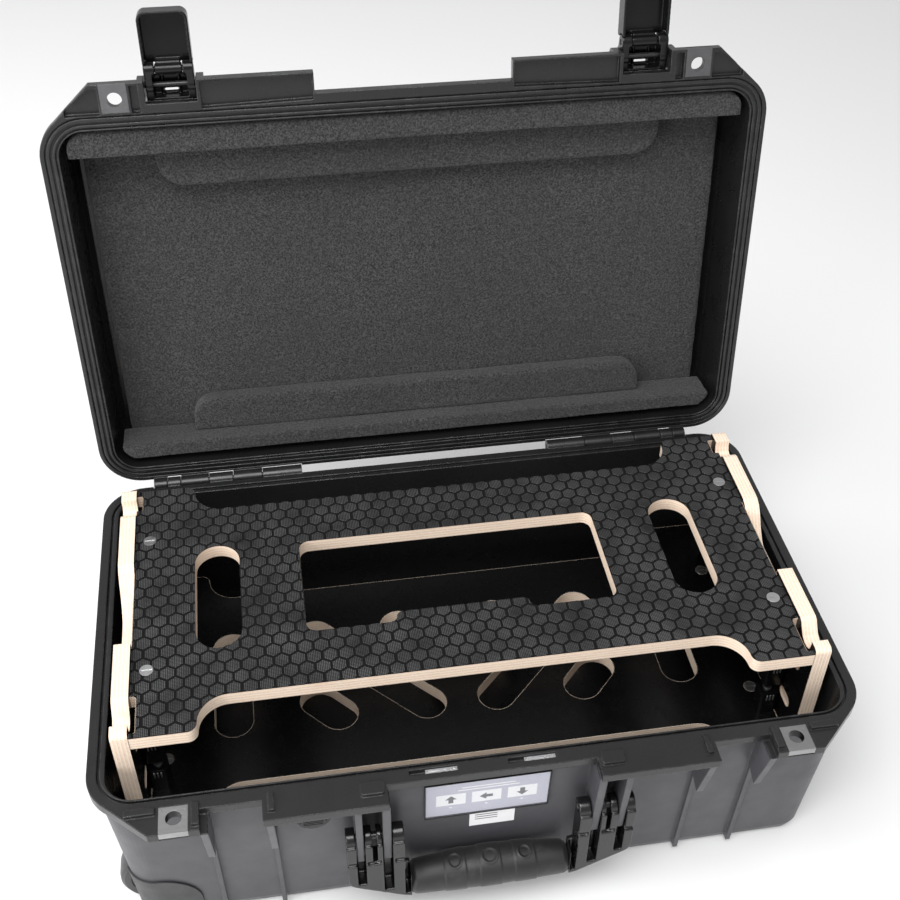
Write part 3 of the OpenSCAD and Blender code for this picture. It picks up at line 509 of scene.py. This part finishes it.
def welded(node):
    """A bmesh of a CAD node with its doubled points joined."""
    bm = bmesh.new()
    bm.from_mesh(nodes[node].data)
    bmesh.ops.remove_doubles(bm, verts=bm.verts, dist=1e-6)
    return bm


def softened(node, voxel, rounds):
    """A CAD node's shape with its edges rounded off."""
    o = new_object("work", new_mesh("work", welded(node)))
    remesh = o.modifiers.new("voxels", "REMESH")
    remesh.mode = "VOXEL"
    remesh.voxel_size = voxel
    smooth = o.modifiers.new("smooth", "SMOOTH")
    smooth.factor = 0.5
    smooth.iterations = rounds
    mesh = settled(o)
    mesh.shade_smooth()
    return mesh


def unevenness(mesh, scale, depth, seed):
    """Moves each point along its normal by low noise, so a soft face isn't ruled flat."""
    offset = Vector((seed, seed * 2.0, -seed))
    normals = [v.normal.copy() for v in mesh.vertices]
    for v, n in zip(mesh.vertices, normals):
        v.co += n * depth * noise.noise(v.co * scale + offset)
    mesh.update()


def foam_piece(name, node, voxel, rounds, seed):
    mesh = softened(node, voxel, rounds)
    unevenness(mesh, 22, 0.5 * MM, seed)
    unevenness(mesh, 380, 0.22 * MM, seed + 3)
    o = piece(name, mesh, "lid", "foam", "foam", node)


def soft_piece(node, voxel, body, look, slot):
    """A hard piece with rounded edges in place of its CAD node."""
    piece(f"{node}_soft", softened(node, voxel, 3), body, look, slot, node)


foam_piece("foam_panel", "lid_foam_panel", 3.0 * MM, 2, 1.0)
foam_piece("foam_pads", "lid_foam_pads", 1.8 * MM, 3, 5.0)
foam_piece("foam_bars", "lid_foam_bars", 1.8 * MM, 2, 9.0)

for side in ("left", "right"):
    soft_piece(f"latch_{side}_arm", 0.5 * MM, f"latch_{side}", "latch", "latch_plastic")
    soft_piece(f"latch_{side}_cover", 0.5 * MM, f"latch_{side}_lever", "latch", "latch_plastic")
soft_piece("front_handle_frame", 0.7 * MM, "front_handle", "handle", "latch_plastic")
soft_piece("side_handle_frame", 0.7 * MM, "side_handle", "handle", "latch_plastic")
soft_piece("side_handle_grip", 0.7 * MM, "side_handle", "grip", "grip_rubber")


# ---------- front handle's rubber sleeve ----------
# Each band: its middle along the grip, and its hollow's half sizes along and around the grip.
BANDS = ((-26.5 * MM, 5.2 * MM, 6.2 * MM), (0.0, 6.2 * MM, 6.2 * MM), (26.5 * MM, 5.0 * MM, 5.4 * MM))
BAND_HALF_WIDTH = 8.6 * MM
BAND_HEIGHT = 0.55 * MM
HOLLOW_TURN = math.radians(6)


def smooth_step(x):
    x = max(0.0, min(1.0, x))
    return x * x * (3 - 2 * x)


def band_lift(x, angle, radius):
    """How far the sleeve stands out there, in band heights."""
    turned = math.atan2(math.sin(angle - HOLLOW_TURN), math.cos(angle - HOLLOW_TURN))
    lift = 0.0
    for middle, half_along, half_around in BANDS:
        lift = max(lift, smooth_step((BAND_HALF_WIDTH - abs(x - middle)) / (1.0 * MM)))
        d = math.hypot((x - middle) / half_along, turned * radius / half_around)
        lift += 0.75 * smooth_step(1 - min(1, abs(d - 0.95) / 0.22))
        lift -= 1 - smooth_step((d - 0.72) / 0.16)
    return lift


def sleeve():
    """A sleeve with a straight lower line, three raised bands and a framed hollow on each band."""
    lo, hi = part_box("front_handle_grip")
    mid_y = (lo.y + hi.y) / 2
    low = lo.z + 0.45 * MM
    half = (hi.x - lo.x) / 2
    around = 128
    along = 220
    bm = bmesh.new()
    rings = []
    for i in range(along + 1):
        x = half * (2 * i / along - 1)
        body = 12.4 * MM + 2.8 * MM * math.cos(math.pi / 2 * x / half) ** 0.8
        end = 1.6 * MM * (1 - smooth_step((half - abs(x)) / (3.5 * MM)))
        ring = []
        for k in range(around):
            a = 2 * math.pi * k / around
            low_side = smooth_step((-math.cos(a) - 0.3) / 0.6)
            r = body - end + BAND_HEIGHT * band_lift(x, a, body) * (1 - 0.6 * low_side)
            ring.append(bm.verts.new((x, mid_y - r * math.sin(a), low + body + r * math.cos(a))))
        rings.append(ring)
    for a, b in zip(rings, rings[1:]):
        for k in range(around):
            bm.faces.new((a[k], a[(k + 1) % around], b[(k + 1) % around], b[k]))
    bm.faces.new(rings[0][::-1])
    bm.faces.new(rings[-1])
    bmesh.ops.recalc_face_normals(bm, faces=bm.faces)
    mesh = new_mesh("sleeve", bm)
    mesh.shade_smooth()
    return mesh


piece("front_handle_sleeve", sleeve(), "front_handle", "grip", "grip_rubber", "front_handle_grip")


# ---------- print on the card and the label ----------
WALL_TILT = math.atan(10 / 147)
PRINT_THICKNESS = 0.04 * MM
# Across the card in mm: each box's middle, and its arrow's quarter turns.
BOXES = ((-26.8, 0), (-0.6, 1), (25.8, 2))


def wall_print(name, node, out, shapes):
    """Flat prints laid on a card on the front wall: (look, outline in mm from its middle)."""
    lo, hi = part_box(node)
    middle = (lo + hi) / 2
    across = Vector((1, 0, 0))
    upwards = Vector((0, -math.sin(WALL_TILT), math.cos(WALL_TILT)))
    outwards = Vector((0, -math.cos(WALL_TILT), -math.sin(WALL_TILT)))
    used = list(dict.fromkeys(look for look, _ in shapes))
    bm = bmesh.new()
    for look, outline in shapes:
        flat = [middle + across * (x * MM) + upwards * (z * MM) for x, z in outline]
        lower = [bm.verts.new(p + outwards * (out - PRINT_THICKNESS)) for p in flat]
        upper = [bm.verts.new(p + outwards * out) for p in flat]
        faces = [bm.faces.new(upper), bm.faces.new(lower[::-1])]
        for k in range(len(flat)):
            j = (k + 1) % len(flat)
            faces.append(bm.faces.new((lower[k], lower[j], upper[j], upper[k])))
        for face in faces:
            face.material_index = used.index(look)
    bmesh.ops.recalc_face_normals(bm, faces=bm.faces)
    mesh = new_mesh(name, bm)
    piece(name, mesh, "base", used[0], "paper")
    for look in used[1:]:
        mesh.materials.append(looks[look])


def bar(x0, x1, z0, z1):
    return [(x0, z0), (x1, z0), (x1, z1), (x0, z1)]


def line(x0, x1, z, half=0.5):
    return bar(x0, x1, z - half, z + half)


def arrow(x, z, quarter):
    """A plain arrow turned by quarters from pointing up."""
    shape = [(-1.8, -4.6), (1.8, -4.6), (1.8, 0.2), (4.4, 0.2), (0, 5.2), (-4.4, 0.2), (-1.8, 0.2)]
    for _ in range(quarter):
        shape = [(-b, a) for a, b in shape]
    return [(x + a, z + b) for a, b in shape]


wall_print("card_print", "direction_card", 0.31 * MM,
           [("white", bar(x - 10.8, x + 10.8, -8.2, 6.4)) for x, _ in BOXES]
           + [("dot", bar(x - 0.9, x + 0.9, -12.6, -11.0)) for x, _ in BOXES]
           + [("line", line(-19, 20, 13.6, 0.6)), ("line", line(-22, 23, 10.4, 0.6))])
wall_print("card_arrows", "direction_card", 0.36 * MM,
           [("arrow", arrow(x, -1.0, quarter)) for x, quarter in BOXES])
wall_print("label_print", "small_label", 0.22 * MM,
           [("arrow", line(-13, 4, z)) for z in (4.5, 1.5, -1.5)])


# ---------- metal contacts on the rack's connectors ----------
def contacts():
    """Three upright bars with round ends near the top of each connector, on its outer face."""
    lo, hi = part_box("rack_brackets")
    mid_x = hi.x - 7.5 * MM
    half_high = 3.2 * MM
    radius = 0.7 * MM
    connector_tops = (lo.z + 24 * MM, hi.z)
    ends = (-1, 1)
    bm = bmesh.new()
    for side, end, top, k in itertools.product(ends, ends, connector_tops, (-1, 0, 1)):
        middle = Vector((side * (mid_x + k * 2.6 * MM), end * hi.y, top - 5.5 * MM))
        made = bmesh.ops.create_uvsphere(bm, u_segments=12, v_segments=8, radius=radius)
        for v in made["verts"]:
            v.co.z += math.copysign(half_high - radius, v.co.z)
            v.co += middle
    mesh = new_mesh("contacts", bm)
    mesh.shade_smooth()
    return mesh


piece("bracket_contacts", contacts(), "rack", "zinc", "zinc")


# ---------- hexagon film ----------
CELL_PITCH = 11.7 * MM
CELL_GAP = 1.7 * MM
CELL_RELIEF = 0.3 * MM
CELL_SLOPE = 0.35 * MM
FIRST_CELL = Vector((-3.9 * MM, 0.1 * MM))
SHEET_TOP = DECK_TOP - CELL_RELIEF


def hex_cells():
    """Raised hexagons in rows over the whole of the deck's film, each a closed solid."""
    lo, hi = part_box("rack_deck_film")
    row = CELL_PITCH * math.sqrt(3) / 2
    outer = (CELL_PITCH - CELL_GAP) / math.sqrt(3)
    levels = ((SHEET_TOP - 0.15 * MM, outer), (SHEET_TOP + 0.05 * MM, outer),
              (DECK_TOP, outer - CELL_SLOPE))
    bm = bmesh.new()
    for j, i in itertools.product(range(-14, 15), range(-24, 25)):
        c = FIRST_CELL + Vector(((i + (j % 2) / 2) * CELL_PITCH, j * row))
        if not (lo.x - outer < c.x < hi.x + outer and lo.y - outer < c.y < hi.y + outer):
            continue
        rings = []
        for z, r in levels:
            rings.append([bm.verts.new((c.x + r * math.sin(k * math.pi / 3),
                                        c.y + r * math.cos(k * math.pi / 3), z)) for k in range(6)])
        for a, b in zip(rings, rings[1:]):
            for k in range(6):
                bm.faces.new((a[k], b[k], b[(k + 1) % 6], a[(k + 1) % 6]))
        bm.faces.new(rings[-1][::-1])
        bm.faces.new(rings[0])
    bmesh.ops.recalc_face_normals(bm, faces=bm.faces)
    return new_mesh("cells", bm)


def hex_film():
    """The deck's film: a thin sheet, and raised hexagons cut off at its outline."""
    cutter_bm = welded("rack_deck_film")
    sheet_bm = cutter_bm.copy()
    top_from = DECK_TOP - 0.1 * MM
    for v in cutter_bm.verts:
        v.co.z += 1 * MM if v.co.z > top_from else -1 * MM
    for v in sheet_bm.verts:
        if v.co.z > top_from:
            v.co.z = SHEET_TOP
    work = new_object("work", hex_cells())
    cutter = new_object("cutter", new_mesh("cutter", cutter_bm))
    cut = work.modifiers.new("cut", "BOOLEAN")
    cut.operation = "INTERSECT"
    cut.solver = "EXACT"
    cut.object = cutter
    cells = settled(work)
    bpy.data.objects.remove(cutter)
    sheet_bm.from_mesh(cells)
    return new_mesh("hex_film", sheet_bm)


piece("hex_film", hex_film(), "rack", "film", "black_film", "rack_deck_film")


# ---------- stage ----------
def soft_light(name, place, aim, size, power):
    data = bpy.data.lights.new(name, "AREA")
    data.shape = "RECTANGLE"
    data.size, data.size_y = size
    data.energy = power
    o = new_object(name, data)
    o.location = place
    o.rotation_euler = (Vector(aim) - Vector(place)).to_track_quat("-Z", "Y").to_euler()


def studio():
    """A plain pale floor, an even white world and three soft lights."""
    bm = bmesh.new()
    bmesh.ops.create_grid(bm, x_segments=8, y_segments=8, size=6)
    mesh = new_mesh("floor", bm)
    g = Graph("floor_paper", (0.80, 0.80, 0.80), 0.8, specular_ior_level=0.1)
    g.set("Base Color", g.mix(g.noise(2, 2), (0.81, 0.81, 0.81), (0.79, 0.79, 0.795)))
    mesh.materials.append(g.mat)
    floor = new_object("floor", mesh)
    world = bpy.data.worlds.new("studio")
    bpy.context.scene.world = world
    world.use_nodes = True
    back = world.node_tree.nodes["Background"]
    back.inputs["Color"].default_value = (1, 1, 1, 1)
    back.inputs["Strength"].default_value = 0.55
    soft_light("key", (-1.9, 0.3, 1.9), (0.1, 0, 0.15), (1.6, 1.6), 30)
    soft_light("top", (-0.4, -0.9, 2.3), (0, 0, 0.2), (1.8, 1.2), 54)
    soft_light("front", (-2.2, -1.7, 0.9), (0, 0, 0.1), (1.6, 1.2), 40)


def photo_camera():
    """The camera's place and the directions of its own axes, as fitted to the case's corners."""
    data = bpy.data.cameras.new("camera")
    cam = new_object("camera", data)
    place = Vector((-0.11507, -0.67286, 0.91076))
    right = Vector((0.98754794, -0.15708274, 0.00860719))
    up = Vector((0.09699548, 0.65104125, 0.75281948))
    ahead = Vector((0.12385858, 0.74261046, -0.65817076))
    turn = Matrix((right, up, -ahead)).transposed()
    cam.matrix_world = Matrix.Translation(place) @ turn.to_4x4()
    data.sensor_width = 36
    data.lens = 50.63
    data.shift_x = -0.0034
    data.shift_y = 0.0011
    data.clip_start = 0.01
    data.clip_end = 50
    bpy.context.scene.camera = cam


studio()
photo_camera()
bpy.context.scene.view_settings.view_transform = "Standard"
